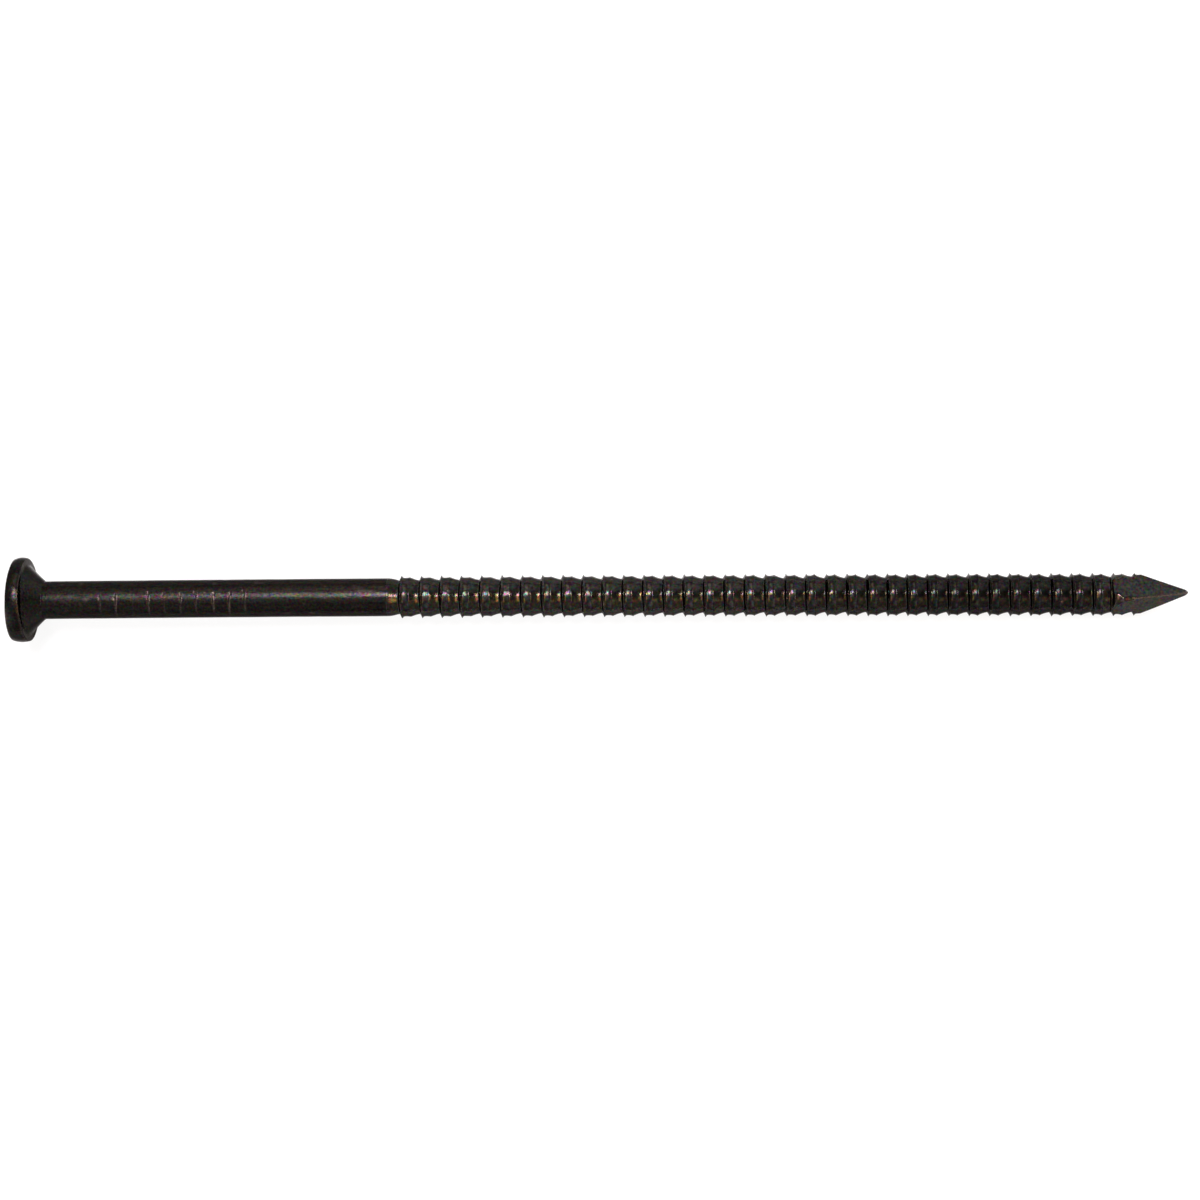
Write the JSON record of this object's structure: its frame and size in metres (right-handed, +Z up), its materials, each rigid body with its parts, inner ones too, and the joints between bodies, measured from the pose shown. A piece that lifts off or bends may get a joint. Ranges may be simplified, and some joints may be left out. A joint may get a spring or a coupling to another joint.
{
  "type": "ring-shank nail",
  "caption": "Flat-head timber nail with a smooth upper shank, annular rings down to a four-sided diamond point.",
  "frame": {"origin": "on the nail's axis, in the plane where the underside of the head bears on the timber", "axes": "+X along the nail from head to point, the way it is driven; the nail lies on its side with +Z up"},
  "size_m": [0.1157, 0.0084, 0.0084],
  "materials": {
    "hardened_steel": "dark heat-treated oxide over drawn wire, satin"
  },
  "bodies": {
    "root": {"head": "hardened_steel", "plain_shank": "hardened_steel", "ringed_shank": "hardened_steel", "point": "hardened_steel"}
  },
  "joints": []
}
